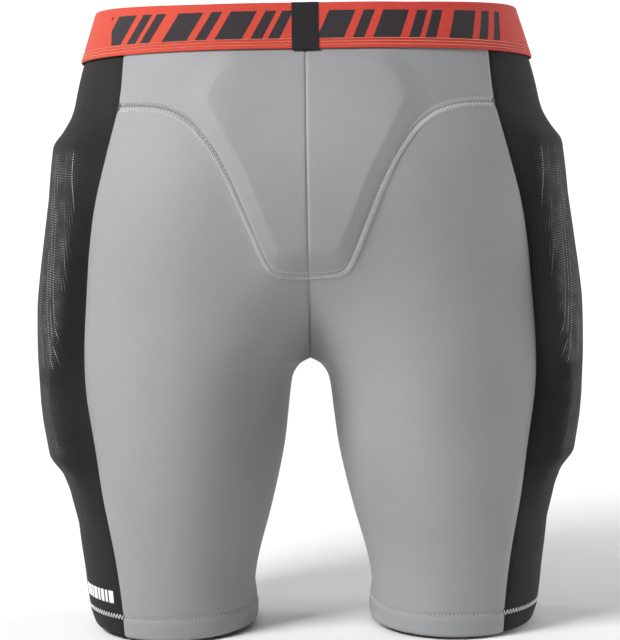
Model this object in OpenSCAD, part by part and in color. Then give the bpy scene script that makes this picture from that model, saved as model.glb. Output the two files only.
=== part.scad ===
// Padded impact shorts, as worn: waist opening up, back towards -Y, front towards +Y, wearer's right +X.
// The origin is the centre of the waist opening, level with the waistband's top edge.
// The garment is built as it is cut and sewn: fabric panels, pads in pockets, elastic and seams.

/* [Overall size] */
// Height from the leg hems to the top of the waistband
total_h = 460; // [445:1:490]
// Height of the crotch point above the hems
crotch_h = 200; // [195:1:205]
// Width over the hips, without the pads
hip_w = 380; // [360:1:400]
// Depth over the seat, back to front
seat_d = 218; // [205:1:230]

/* [Fabric] */
// Thickness of the stretch panels and the mesh
cloth_t = 1.2; // [1:0.1:1.4]
// Gap left between two panels where a seam joins them
seam_gap = 0.8; // [0.6:0.1:1]
// Width of the raised flatlock seams
flatlock_w = 7; // [6:0.5:7.5]
// Thickness of a line of sewing thread
thread_t = 0.6; // [0.5:0.1:0.8]

/* [Waistband] */
// Height of the elastic waistband
band_h = 36; // [32:1:40]
// Thickness of the elastic
band_t = 2.2; // [1.8:0.1:2.6]
// Width of the black tab over the band's join
tab_w = 19; // [16:1:22]

/* [Pads] */
// Rise of the tailbone pad under the seat yoke
tail_rise = 8; // [6:0.5:9]
// Share of the hip pads' rise, 1 being the full thickness
hip_rise = 1; // [0.8:0.05:1.05]
// Bevel around the tailbone pad
tail_bevel = 9; // [7:1:12]

/* [Leg openings] */
// Height of the elastic gripper tape inside each hem
grip_h = 12; // [10:1:14]

/* [Hidden] */

grey = [0.62, 0.63, 0.65];
mesh_black = [0.13, 0.13, 0.14];
band_red = [0.85, 0.22, 0.16];
thread_grey = [0.78, 0.79, 0.80];
foam = [0.24, 0.25, 0.27];
clear_silicone = [0.85, 0.86, 0.88];
white = [0.95, 0.95, 0.95];

// The stations below are drawn for these nominal sizes and scale with the driving dimensions.
nominal_h = 460;
nominal_crotch = 200;
kx = hip_w / 380;
ky = seat_d / 218;

// Heights of the main levels above the hems
band_low = total_h - band_h;
panel_top = band_low + 8;
crotch_blend = 110;     // height above the crotch over which the two legs merge into the seat
flat_centre = 0.08;     // how nearly flat the seat is across the centre seam, 0 being flat
crotch_reach = 38;      // degrees over which the crotch web shapes the cloth next to the centre
lining_in = 3.4;        // inner face of the pocket linings, below the body surface
lining_out = 2.4;       // outer face of the pocket linings
pad_in = 1.5;           // inner face of the pads
pad_clear = 2.4;        // outer face of the side pads, below the cover's outer face
tail_clear = 3.2;       // the same for the tailbone pad
tail_inset = 9;         // how far the tailbone pad's edge stays inside its bulge
band_gap = 0.9;         // between the fabric and the waistband that laps over it
tape_out = 2.1;         // outer face of the gripper tape, below the body surface
tape_t = 1;
silicone_t = 0.8;
tail_low = 273;         // lower and upper ends of the tailbone pad
tail_high = 420;
hip_low = 195;          // ends of the hip pad and the thigh pad
hip_high = 363;
thigh_low = 127;
thigh_high = 187;
yoke_low = 265;         // height of the yoke seam across the seat, and at the side seam
yoke_high = 386;
yoke_flat = 0.16;       // share of the way to the side seam over which it stays low
yoke_round = 0.03;      // how rounded its turn upwards is
yoke_level = 3.5;       // how soon it levels off on its way up
flat_share = 0.78;      // columns of the side grids up to this one lie on the pads' flat part

// Half-width of the body at heights above the hem, pads left out
outer_line = [[0, 168], [14, 172.5], [42, 176], [66, 179], [94, 181.5], [162, 186], [242, 190],
    [312, 186.6], [362, 181.5], [402, 174], [420, 169.5], [427, 167], [460, 156]];
// How far the side pads push the mesh out
rise_line = [[76, 0], [86, 1.6], [102, 4.2], [115, 8.2], [127, 16.8], [155, 19.5], [170, 20],
    [203, 19.3], [244, 17.3], [282, 14], [322, 11.2], [363, 11.3], [373, 5], [383, 1], [391, 0]];
// Share of the side panel's width over which the pads are full thickness
flat_line = [[115, 0.68], [187, 0.74], [215, 0.84], [262, 0.88], [302, 0.84], [363, 0.72]];
// Distance from the centre plane to the middle of each leg, and of each hip above it
axis_line = [[0, 106], [48, 107], [94, 104], [142, 99], [195, 93], [252, 82],
    [312, 66], [372, 50], [426, 40], [460, 36]];
// Half the gap between the legs
gap_line = [[0, 44.8], [14, 44.5], [28, 46], [50, 42], [86, 32], [130, 22],
    [160, 18], [176, 16.2], [188, 13.6], [196, 7.8], [200, 0.4]];
// Depth of the back and of the front, measured from the middle of the leg
back_line = [[0, 66], [58, 73], [114, 84], [162, 91.5], [195, 95.5], [232, 100], [262, 105.5],
    [290, 111.5], [316, 116.5], [340, 118], [362, 115], [390, 107.5], [426, 98], [460, 92]];
front_line = [[0, 66], [58, 75], [114, 86], [195, 94], [252, 99], [322, 101],
    [382, 100], [426, 97], [460, 93]];
// Distance from the centre plane to the side seams
side_line = [[0, 140], [26, 142], [58, 146], [101, 153.5], [138, 158.5], [179, 164.5], [210, 165],
    [253, 161.5], [287, 158], [316, 153], [350, 144], [390, 134], [426, 131], [460, 127]];
// Height of the front seam, along the share of the way from the centre to the side seam
pouch_line = [[0, 229], [0.10, 233], [0.18, 255], [0.28, 298], [0.42, 341], [0.62, 370],
    [0.82, 381], [1, 385]];
// Half-width of the tailbone pad at heights above the hem
tail_line = [[273, 24], [277, 27], [286, 30], [299, 35], [336, 49.5], [362, 63], [379, 71],
    [388, 75], [398, 72.5], [408, 67], [420, 54]];

// Rows and columns of the panel grids
yoke_cols = [0, 0.07, 0.13, 0.16, 0.19, 0.22, 0.25, 0.28, 0.31, 0.35, 0.40, 0.46, 0.53, 0.62, 0.70,
    0.85, 1];
leg_heights = [0, 14, 30, 60, 95, 130, 160, 177, 188, 195, 200];
over_crotch = [0.015, 0.04, 0.09, 0.17, 0.28, 0.4, 0.55, 0.7, 0.85, 1];
yoke_rows = concat([0, 0.04], [for (i = [1:13]) i / 13]);
side_rows = [0, 14, 30, 53, 76, 102, 115, 127, 140, 155, 171, 187, 195, 211, 227, 244, 263, 282, 302,
    322, 342, 363, 373, 391, 410];
pad_cols = [-0.9, -0.78, -0.6, -0.4, -0.2, 0, 0.2, 0.4, 0.6, 0.78, 0.9];
side_cols = [-1, each pad_cols, 1];

// ---- Curves ----

// The stretch of table t that holds x
function stretch(t, x, i = 0) = i >= len(t) - 2 || x < t[i + 1][0] ? i : stretch(t, x, i + 1);
function steep(t, i) =
    let (a = max(i - 1, 0), b = min(i + 1, len(t) - 1)) (t[b][1] - t[a][1]) / (t[b][0] - t[a][0]);
// A smooth curve through the points of t
function curve(t, x) =
    let (i = stretch(t, x), h = t[i + 1][0] - t[i][0], u = min(max((x - t[i][0]) / h, 0), 1))
    t[i][1] * (2 * u ^ 3 - 3 * u ^ 2 + 1) + steep(t, i) * h * (u ^ 3 - 2 * u ^ 2 + u)
    + t[i + 1][1] * (3 * u ^ 2 - 2 * u ^ 3) + steep(t, i + 1) * h * (u ^ 3 - u ^ 2);
function mix(a, b, t) = a + (b - a) * t;
function ease(t) = let (u = min(max(t, 0), 1)) u * u * (3 - 2 * u);
function cross_out(a, b) = cross(a, b) / norm(cross(a, b));

// Nominal height for a height h above the hem: the leg and the seat scale separately
function nom(h) = h < crotch_h ? h * nominal_crotch / crotch_h
    : nominal_crotch + (h - crotch_h) * (nominal_h - nominal_crotch) / (total_h - crotch_h);
function real(n) = n < nominal_crotch ? n * crotch_h / nominal_crotch
    : crotch_h + (n - nominal_crotch) * (total_h - crotch_h) / (nominal_h - nominal_crotch);

// ---- Body surface: one half, mirrored for the other ----
// A section is an oval about the leg's middle: angle 0 is the outer side, -90 the back, 90 the front
// and 180 the inner leg.

function axis_x(h) = kx * curve(axis_line, nom(h));
function outer_x(h) = kx * curve(outer_line, nom(h));
// Cosine of the angle at which the section meets the centre plane: 1 at the crotch and below
function meet(h) = h <= crotch_h ? 1
    : flat_centre + (1 - flat_centre) * (1 - min((h - crotch_h) / crotch_blend, 1) ^ 1.5) ^ 2;
function inner_r(h) = h < crotch_h ? axis_x(h) - kx * curve(gap_line, nom(h)) : axis_x(h) / meet(h);
function depth(h, a) = ky * curve(a < 0 ? back_line : front_line, nom(h));
// Angle at which the section meets the centre plane, and angle of the side seam, from the outer side
function centre_angle(h) = acos(-meet(h));
function side_angle(h) = acos((kx * curve(side_line, nom(h)) - axis_x(h)) / (outer_x(h) - axis_x(h)));

// The inner radius evened out over the heights around h. The plain one holds only within crotch_reach
// degrees of the centre and over the seat, so that the crotch shapes only the cloth next to it.
function soft_r(h) = let (k = [for (d = [-30:10:30]) 1 / inner_r(h + d)]) 7 / (k * [for (v = k) 1]);
function oval_r(h, a) = abs(a) <= 90 ? outer_x(h) - axis_x(h)
    : mix(soft_r(h), inner_r(h),
        max(ease(1 - (centre_angle(h) - abs(a)) / crotch_reach), ease((h - crotch_h - 10) / 45)));
function flat_normal(h, a) =
    let (n = [cos(a) / oval_r(h, a), sin(a) / depth(h, a)]) n / norm(n);
// A point of the right half at height h and angle a, standing out of the body surface by out
function skin(h, a, out = 0) =
    let (n = flat_normal(h, a))
    [max(axis_x(h) + oval_r(h, a) * cos(a) + out * n[0], seam_gap / 4),
     depth(h, a) * sin(a) + out * n[1], h - total_h];

// Angle at a share s of the way from the centre (0) to the side seam (1), by length of cloth.
// side is -1 on the back and 1 on the front.
function panel_angle(h, s, side) =
    let (c = centre_angle(h), e = side_angle(h), d = depth(h, side),
         r_in = inner_r(h), r_out = outer_x(h) - axis_x(h),
         inner = norm([r_in * cos(c), d * (1 - sin(c))]) * (1.11 - 0.11 * sin(c)),
         outer = norm([r_out * cos(e), d * (1 - sin(e))]) * 1.04, f = inner / (inner + outer))
    side * (s < f ? mix(c, 90, s / f) : mix(90, e, (s - f) / (1 - f)));
// Angle of the point at distance x from the centre plane, found by steps from a first guess
function angle_at(h, x, side, guess = 0, steps = 6) =
    let (start = guess > 0 ? guess : x < axis_x(h) ? centre_angle(h) : 90,
         a = acos(max(-1, min(1, (x - axis_x(h)) / oval_r(h, start)))))
    steps == 0 ? side * a : angle_at(h, x, side, a, steps - 1);

// Nominal height of the yoke seam at a share s of the way to the side seam: low across the seat, a
// rounded turn, then a climb that levels off
function yoke_at(s) =
    let (d = (s - yoke_flat) / (1 - yoke_flat), t = (d + sqrt(d ^ 2 + yoke_round ^ 2)) / 2)
    yoke_high - (yoke_high - yoke_low) * (1 - min(t, 1)) ^ yoke_level;
// Height of the seam between an upper panel and a leg panel
function seam_height(side, s) = real(side < 0 ? yoke_at(s) : curve(pouch_line, s));

// ---- Pads' effect on the covers ----

function tail_half(h) = kx * lookup(nom(h), tail_line);
// Rise of the yoke over the tailbone pad, with the bulge drawn in by inset all round
function tail_bump(h, x, inset = 0) =
    let (n = nom(h), d = min(tail_half(h) - x, n - tail_low, tail_high - n))
    tail_rise * ease((d - inset) / tail_bevel);
// The side panel's grid has columns q from -1 to 1: the angle of column q, and how far the pads push it out
function side_at(h, q) = let (flat = lookup(nom(h), flat_line), beyond = abs(q) - flat_share)
    (side_angle(h) - 0.5) * (beyond <= 0 ? q * flat / flat_share
        : sign(q) * (flat + beyond * (1 - flat) / (1 - flat_share)));
function side_bump(h, q) =
    hip_rise * lookup(nom(h), rise_line) * (1 - ease((abs(q) - flat_share) / (1 - flat_share)));

// ---- Solids from grids ----

// Faces of a grid of points with first index at, rows r and columns c, wound one way or the other
function quads(at, r, c, flip) = [for (i = [0:r - 2], j = [0:c - 2])
    let (a = at + i * c + j, b = a + 1, d = a + c, e = d + 1)
    each (flip ? [[a, b, e], [a, e, d]] : [[a, e, b], [a, d, e]])];
function rim(loop_a, loop_b) = [for (k = [0:len(loop_a) - 1])
    let (m = (k + 1) % len(loop_a))
    each [[loop_a[k], loop_a[m], loop_b[m]], [loop_a[k], loop_b[m], loop_b[k]]]];
function edge_loop(r, c) = concat(
    [for (j = [0:c - 1]) j], [for (i = [1:r - 1]) i * c + c - 1],
    [for (j = [c - 2:-1:0]) (r - 1) * c + j], [for (i = [r - 2:-1:1]) i * c]);

// A closed sheet between an outer and an inner grid of points. Rows run up, and turned says that the
// columns run the other way.
module sheet(outer, inner, turned = false) {
    r = len(outer);
    c = len(outer[0]);
    loop = edge_loop(r, c);
    inner_loop = [for (k = loop) k + r * c];
    polyhedron(
        points = [for (row = outer) each row, for (row = inner) each row],
        faces = concat(quads(0, r, c, turned), quads(r * c, r, c, !turned),
            turned ? rim(inner_loop, loop) : rim(loop, inner_loop)));
}

// A ring between an outer and an inner closed loop of points at each of several rows
module ring(outer, inner) {
    r = len(outer);
    c = len(outer[0]);
    function at(layer, i, j) = layer * r * c + i * c + j % c;
    walls = [for (i = [0:r - 2], j = [0:c - 1]) each [
        [at(0, i, j), at(0, i + 1, j + 1), at(0, i, j + 1)],
        [at(0, i, j), at(0, i + 1, j), at(0, i + 1, j + 1)],
        [at(1, i, j), at(1, i, j + 1), at(1, i + 1, j + 1)],
        [at(1, i, j), at(1, i + 1, j + 1), at(1, i + 1, j)]]];
    ends = [for (j = [0:c - 1]) each [
        [at(0, 0, j), at(0, 0, j + 1), at(1, 0, j + 1)], [at(0, 0, j), at(1, 0, j + 1), at(1, 0, j)],
        [at(0, r - 1, j), at(1, r - 1, j + 1), at(0, r - 1, j + 1)],
        [at(0, r - 1, j), at(1, r - 1, j), at(1, r - 1, j + 1)]]];
    polyhedron(
        points = [for (row = outer) each row, for (row = inner) each row],
        faces = concat(walls, ends));
}

module half(left) {
    if (left) mirror([1, 0, 0]) children(); else children();
}

// ---- Whole-body loops, for the waistband ----

// A closed loop of points round the whole body at height h, standing out by out
function body_loop(h, out, n = 9) =
    let (back = [for (s = [0.02, for (i = [1:n]) i / n]) skin(h, panel_angle(h, s, -1), out)],
         side = [for (q = [-0.75:0.25:0.75]) skin(h, q * side_angle(h), out)],
         front = [for (s = [for (i = [n:-1:1]) i / n, 0.02]) skin(h, panel_angle(h, s, 1), out)],
         right = concat(back, side, front))
    concat(right, [for (i = [len(right) - 1:-1:0]) [-right[i][0], right[i][1], right[i][2]]]);
// A closed loop of points round one leg
function leg_loop(h, out, n = 40) = [for (i = [0:n - 1]) skin(h, -180 + (i + 0.5) * 360 / n, out)];

// ---- Fabric panels ----

// An upper panel, over the yoke or pouch seam. side is -1 back, 1 front
module upper_panel(side) {
    function place(row, s, under) =
        let (h = mix(seam_height(side, s) + seam_gap / 2, panel_top, row),
             a = panel_angle(h, mix(0.003, 0.994, s), side), x = skin(h, a)[0],
             bump = side < 0 ? tail_bump(h, x) : 0)
        skin(h, a, bump - under);
    function grid(under) = [for (row = yoke_rows) [for (s = yoke_cols) place(row, s, under)]];
    sheet(grid(0), grid(cloth_t), turned = side > 0);
}

// A leg panel, from the hem to the yoke or pouch seam
module leg_panel(side) {
    function place(h, s, under) = skin(h, panel_angle(h, mix(0.003, 0.994, s), side), -under);
    function top(s) = seam_height(side, s) - seam_gap / 2;
    function grid(under) = concat(
        [for (n = leg_heights) [for (s = yoke_cols) place(real(n), s, under)]],
        [for (u = over_crotch) [for (s = yoke_cols) place(mix(crotch_h, top(s), u), s, under)]]);
    sheet(grid(0), grid(cloth_t), turned = side > 0);
}

module seat_yoke() color(grey) upper_panel(-1);
module front_pouch() color(grey) upper_panel(1);
module rear_leg_panel() color(grey) leg_panel(-1);
module front_leg_panel() color(grey) leg_panel(1);

module side_mesh() {
    function place(n, q, under) =
        let (h = min(real(n), panel_top)) skin(h, side_at(h, q), side_bump(h, q) - under);
    rows = concat(side_rows, [nom(panel_top)]);
    function grid(under) = [for (n = rows) [for (q = side_cols) place(n, q, under)]];
    color(mesh_black) sheet(grid(0), grid(cloth_t));
}

// Inner layer of the side pocket, next to the leg
module pad_pocket_lining() {
    rows = [for (n = [92:20:392]) n];
    function grid(in) = [for (n = rows) [for (q = [-0.97:0.194:0.971])
        skin(real(n), q * side_angle(real(n)), -in)]];
    color(mesh_black) sheet(grid(lining_out), grid(lining_in));
}

// ---- Pads ----

module side_pad(low, high) {
    rows = [for (n = side_rows) if (n >= low && n <= high) n];
    function place(n, q, top) =
        let (h = real(n)) skin(h, side_at(h, q), top ? side_bump(h, q) - pad_clear : -pad_in);
    function grid(top) = [for (n = rows) [for (q = pad_cols) place(n, q, top)]];
    sheet(grid(true), grid(false));
}
module hip_pad() color(foam) side_pad(hip_low, hip_high);
module thigh_pad() color(foam) side_pad(thigh_low, thigh_high);

// The tailbone pad and its pocket cross the centre plane, so their columns run from left to right
function back_point(h, x, out) = let (p = skin(h, angle_at(h, abs(x), -1), out))
    [sign(x) * p[0], p[1], p[2]];
function back_grid(rows, cols, inset, top) = [for (n = rows) [for (u = cols)
    let (h = real(n), x = u * (tail_half(h) - inset))
    back_point(h, x, top < 0 ? top : tail_bump(h, abs(x), tail_inset / 2) - tail_clear)]];
tail_cols = [-1, -0.9, -0.75, -0.5, -0.25, -0.05, 0.05, 0.25, 0.5, 0.75, 0.9, 1];

module tailbone_pad() {
    rows = [for (i = [0:12]) mix(tail_low + tail_inset, tail_high - tail_inset, i / 12)];
    color(foam)
        sheet(back_grid(rows, tail_cols, tail_inset, 1), back_grid(rows, tail_cols, tail_inset, -pad_in));
}
module tailbone_pocket_lining() {
    rows = [268, 282, 302, 322, 342, 362, 382, 393, 402, 414];
    color(mesh_black)
        sheet(back_grid(rows, tail_cols, -5, -lining_out), back_grid(rows, tail_cols, -5, -lining_in));
}

// ---- Waistband ----

module waistband() {
    rows = [band_low, band_low + band_h / 2, total_h];
    color(band_red)
        ring([for (h = rows) body_loop(h, band_gap + band_t)], [for (h = rows) body_loop(h, band_gap)]);
}
module waistband_stitching() {
    rows = [band_low + 3, band_low + 7];
    low = band_gap + band_t + 0.4;
    color(band_red)
        ring([for (h = rows) body_loop(h, low + thread_t)], [for (h = rows) body_loop(h, low)]);
}
module waistband_join_tab() {
    cols = [-1, -0.6, -0.2, 0.2, 0.6, 1];
    function grid(out) = [for (h = [band_low - 1, band_low + band_h / 2, total_h])
        [for (u = cols) back_point(h, u * tab_w / 2, out)]];
    low = band_gap + band_t + thread_t + 0.8;
    color(mesh_black) sheet(grid(low + 1.2), grid(low));
}
module care_label() {
    label = [30, 0.6, 42];
    back_y = -ky * curve(back_line, nom(panel_top)) + 8;
    color(white) translate([-label[0] / 2, back_y, band_low - label[2] - total_h + 6]) cube(label);
}

// ---- Seams ----

// A raised strip w wide along the points that spot(t, shift) gives for t from 0 to 1
module strip(points, normals, w, low = 0.7) {
    last = len(points) - 1;
    function along(i) = let (d = points[min(i + 1, last)] - points[max(i - 1, 0)]) d / norm(d);
    function across(i) = cross_out(normals[i], along(i));
    function grid(out) = [for (i = [0:last]) [for (k = [-1, 1])
        points[i] + k * w / 2 * across(i) + out * normals[i]]];
    sheet(grid(low + thread_t), grid(low), turned = true);
}
function normal3(h, a, out = 0) =
    let (e = 0.5,
         u = skin(h, a + e, out) - skin(h, a - e, out),
         v = skin(h + e, a, out) - skin(h - e, a, out))
    cross_out(u, v);

module curved_seam(side) {
    spots = [for (i = [1:36])
        let (s = i / 36 * 0.96 + 0.02, h = seam_height(side, s)) [h, panel_angle(h, s, side)]];
    strip([for (p = spots) skin(p[0], p[1])], [for (p = spots) normal3(p[0], p[1])], flatlock_w);
}
module yoke_seam() color(thread_grey) curved_seam(-1);
module front_seam() color(thread_grey) curved_seam(1);

module side_seam(side) {
    spots = [for (n = [26:16:410]) let (h = real(n)) [h, side * side_angle(h)]];
    strip([for (p = spots) skin(p[0], p[1])], [for (p = spots) normal3(p[0], p[1])], 2);
}
module rear_side_seam() color(mesh_black) side_seam(-1);
module front_side_seam() color(mesh_black) side_seam(1);

module inseam() {
    spots = [for (n = [24:12:176]) let (h = real(n)) [h, 179.9]];
    color(thread_grey)
        strip([for (p = spots) skin(p[0], p[1])], [for (p = spots) normal3(p[0], p[1])], 2);
}
// A seam up the centre of the back (-1) or the front (1), in the groove between the two halves
module centre_seam(side) {
    low = 1;
    foot = seam_height(side, 0) + seam_gap / 2;
    rows = concat([for (h = [crotch_h + 24:10:foot - 5]) h],
        [for (u = yoke_rows) let (h = mix(foot, panel_top, u)) if (h < band_low) h]);
    function spot(h, u, out) =
        let (x = max(abs(u), 0.01), bump = side < 0 ? tail_bump(h, x) : 0,
            p = skin(h, angle_at(h, x, side), bump + out))
        [u, p[1] + (u == 0 ? side * 0.1 : 0), p[2]];
    function grid(out) = [for (h = rows) [for (u = [-1.2, 0, 1.2]) spot(h, u, out)]];
    color(thread_grey) sheet(grid(low + thread_t), grid(low), turned = side > 0);
}
module centre_back_seam() centre_seam(-1);
module centre_front_seam() centre_seam(1);

module hem_stitching() {
    rows = [grip_h, grip_h + 4];
    color(thread_grey)
        ring([for (h = rows) leg_loop(h, 0.4 + thread_t)], [for (h = rows) leg_loop(h, 0.4)]);
}

// ---- Hems ----

module gripper_tape() {
    rows = [1, 1 + grip_h];
    color(mesh_black)
        ring([for (h = rows) leg_loop(h, -tape_out)], [for (h = rows) leg_loop(h, -tape_out - tape_t)]);
}
module silicone_strip() {
    rows = [4, 9];
    low = tape_out + tape_t + 0.3;
    color(clear_silicone)
        ring([for (h = rows) leg_loop(h, -low)], [for (h = rows) leg_loop(h, -low - silicone_t)]);
}
// A plain printed row of upright blocks, low on the left side panel. Each block starts at an angle round
// the leg and has a width, in degrees.
module leg_mark() {
    blocks = [[-52, 4], [-46.5, 2], [-43, 3], [-38.5, 2], [-35, 4], [-29.5, 2], [-26, 3], [-21.5, 4]];
    function grid(b, out) = [for (h = [23, 32]) [for (a = [b[0], b[0] + b[1]]) skin(h, a, out)]];
    color(white) for (b = blocks) sheet(grid(b, 0.6), grid(b, 0.25));
}

// ---- The nodes ----

waistband();
waistband_join_tab();
waistband_stitching();
care_label();
tailbone_pad();
tailbone_pocket_lining();
centre_back_seam();
centre_front_seam();
half(true) leg_mark();  // leg_mark_left
for (hand = ["left", "right"]) half(hand == "left") {
    seat_yoke();
    front_pouch();
    rear_leg_panel();
    front_leg_panel();
    side_mesh();
    pad_pocket_lining();
    hip_pad();
    thigh_pad();
    yoke_seam();
    front_seam();
    rear_side_seam();
    front_side_seam();
    inseam();
    hem_stitching();
    gripper_tape();
    silicone_strip();
}
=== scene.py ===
"""Padded impact shorts, as worn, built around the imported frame.

Every piece lies on one body surface: a section is an oval round the middle of each leg, and the two ovals
merge into the seat above the crotch. The stations are the CAD's, in millimetres above the leg hems.
"""
import math

import bpy
import numpy as np
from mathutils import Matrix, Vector


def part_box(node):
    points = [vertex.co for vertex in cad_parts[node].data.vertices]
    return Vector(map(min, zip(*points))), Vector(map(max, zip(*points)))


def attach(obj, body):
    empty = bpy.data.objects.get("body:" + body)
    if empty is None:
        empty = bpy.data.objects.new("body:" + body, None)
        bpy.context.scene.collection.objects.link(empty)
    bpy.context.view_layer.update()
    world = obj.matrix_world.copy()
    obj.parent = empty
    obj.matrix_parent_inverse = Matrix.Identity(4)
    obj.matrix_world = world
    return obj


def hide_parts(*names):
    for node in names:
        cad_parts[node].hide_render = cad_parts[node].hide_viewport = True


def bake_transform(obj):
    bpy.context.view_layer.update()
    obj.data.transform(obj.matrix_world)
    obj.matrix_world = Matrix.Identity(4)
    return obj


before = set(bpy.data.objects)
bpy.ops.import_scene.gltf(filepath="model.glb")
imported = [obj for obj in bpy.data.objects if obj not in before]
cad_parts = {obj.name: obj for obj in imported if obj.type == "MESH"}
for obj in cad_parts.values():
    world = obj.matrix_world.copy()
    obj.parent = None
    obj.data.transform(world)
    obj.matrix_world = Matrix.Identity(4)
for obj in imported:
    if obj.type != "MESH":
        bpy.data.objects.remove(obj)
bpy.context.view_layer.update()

MM = 0.001
SIDES = {"left": -1, "right": 1}
total_h = -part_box("rear_leg_panel_right")[0].z / MM
band_low = total_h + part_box("waistband")[0].z / MM
band_h = total_h - band_low

# ---------------------------------------------------------------- body surface

crotch_h = 200
crotch_blend = 110
flat_centre = 0.08
crotch_reach = 38
seat_from, seat_blend = 10, 45   # above the crotch, where the seat's plain radius takes over
tail_low, tail_high, tail_rise, tail_bevel, tail_foot = 273, 420, 5.2, 9, 8
hip_low, hip_high, thigh_low, thigh_high = 195, 363, 127, 187
tab_w = 19
yoke_low, yoke_high = 265, 386
yoke_flat, yoke_round, yoke_level = 0.16, 0.03, 3.5
flat_share = 0.78
hem_dip = 3.5

OUTER = [[0, 168], [14, 172.5], [42, 176], [66, 179], [94, 181.5], [162, 186], [242, 190],
         [312, 186.6], [362, 181.5], [402, 174], [420, 169.5], [427, 167], [460, 156]]
RISE = [[76, 0], [86, 1.6], [102, 4.2], [115, 8.2], [127, 16.8], [155, 19.5], [170, 20],
        [203, 19.3], [244, 17.3], [282, 14], [322, 11.2], [363, 11.3], [373, 5], [383, 1], [391, 0]]
FLAT = [[115, 0.68], [187, 0.74], [215, 0.84], [262, 0.88], [302, 0.84], [363, 0.72]]
AXIS = [[0, 106], [48, 107], [94, 104], [142, 99], [195, 93], [252, 82],
        [312, 66], [372, 50], [426, 40], [460, 36]]
GAP = [[0, 44.8], [14, 44.5], [28, 46], [50, 42], [86, 32], [130, 22],
       [160, 18], [176, 16.2], [188, 13.6], [196, 7.8], [200, 0.4]]
BACK = [[0, 66], [58, 73], [114, 84], [162, 91.5], [195, 95.5], [232, 100], [262, 105.5],
        [290, 111.5], [316, 116.5], [340, 118], [362, 115], [390, 107.5], [426, 98], [460, 92]]
FRONT = [[0, 66], [58, 75], [114, 86], [195, 94], [252, 99], [322, 101],
         [382, 100], [426, 97], [460, 93]]
SIDE = [[0, 140], [26, 142], [58, 146], [101, 153.5], [138, 158.5], [179, 164.5], [210, 165],
        [253, 161.5], [287, 158], [316, 153], [350, 144], [390, 134], [426, 131], [460, 127]]
POUCH = [[0, 229], [0.10, 233], [0.18, 255], [0.28, 298], [0.42, 341], [0.62, 370],
         [0.82, 381], [1, 385]]
TAIL = [[273, 24], [277, 27], [286, 30], [299, 35], [336, 49.5], [362, 63], [379, 71],
        [388, 75], [398, 72.5], [408, 67], [420, 54]]


def curve(table, x):
    """A smooth curve through the table's points."""
    xs, ys = np.array(table, float).T
    x = np.clip(x, xs[0], xs[-1])
    i = np.clip(np.searchsorted(xs, x, "right") - 1, 0, len(xs) - 2)
    steep = np.empty(len(xs))
    steep[1:-1] = (ys[2:] - ys[:-2]) / (xs[2:] - xs[:-2])
    steep[0] = (ys[1] - ys[0]) / (xs[1] - xs[0])
    steep[-1] = (ys[-1] - ys[-2]) / (xs[-1] - xs[-2])
    h = xs[i + 1] - xs[i]
    u = (x - xs[i]) / h
    return (ys[i] * (2 * u**3 - 3 * u**2 + 1) + steep[i] * h * (u**3 - 2 * u**2 + u)
            + ys[i + 1] * (3 * u**2 - 2 * u**3) + steep[i + 1] * h * (u**3 - u**2))


def mix(a, b, t):
    return a + (b - a) * t


def ease(t):
    u = np.clip(t, 0, 1)
    return u * u * (3 - 2 * u)


def line(table, x):
    """Straight lines through the table's points."""
    xs, ys = np.array(table, float).T
    return np.interp(x, xs, ys)


def axis_x(h):
    return curve(AXIS, h)


def outer_x(h):
    return curve(OUTER, h)


def meet(h):
    """Cosine of the angle at which the section meets the centre plane, 1 at the crotch and below."""
    over = np.clip((h - crotch_h) / crotch_blend, 0, 1)
    return np.where(h <= crotch_h, 1, flat_centre + (1 - flat_centre) * (1 - over ** 1.5) ** 2)


def inner_r(h):
    return np.where(h < crotch_h, axis_x(h) - curve(GAP, h), axis_x(h) / meet(np.maximum(h, crotch_h)))


SOFT_H = np.arange(-40.0, 510.0)
SOFT_R = 7 / sum(1 / inner_r(SOFT_H + k) for k in range(-30, 31, 10))


def oval_r(h, a):
    """The section's radius from side to side. The crotch shapes only the cloth next to it."""
    near = ease(1 - (centre_angle(h) - np.abs(a)) / crotch_reach)
    share = np.maximum(near, ease((h - crotch_h - seat_from) / seat_blend))
    inside = mix(np.interp(h, SOFT_H, SOFT_R), inner_r(h), share)
    return np.where(np.abs(a) <= 90, outer_x(h) - axis_x(h), inside)


def depth(h, a):
    return np.where(a < 0, curve(BACK, h), curve(FRONT, h))


def centre_angle(h):
    return np.degrees(np.arccos(-meet(h)))


def side_angle(h):
    return np.degrees(np.arccos((curve(SIDE, h) - axis_x(h)) / (outer_x(h) - axis_x(h))))


def skin(h, a, out=0.0):
    """Points of the right half at height h (mm) and angle a (degrees), out (mm) off the body surface."""
    h, a, out = np.broadcast_arrays(np.asarray(h, float), np.asarray(a, float), np.asarray(out, float))
    rad = np.radians(a)
    r, d = oval_r(h, a), depth(h, a)
    n = np.stack([np.cos(rad) / r, np.sin(rad) / d], -1)
    n /= np.linalg.norm(n, axis=-1, keepdims=True)
    x = axis_x(h) + r * np.cos(rad) + out * n[..., 0]
    y = d * np.sin(rad) + out * n[..., 1]
    dip = hem_dip * np.maximum(-np.sin(rad), 0) * np.clip(1 - h / 80, 0, 1.1) ** 2
    return np.stack([np.maximum(x, 0.05), y, h - total_h - dip], -1) * MM


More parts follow.
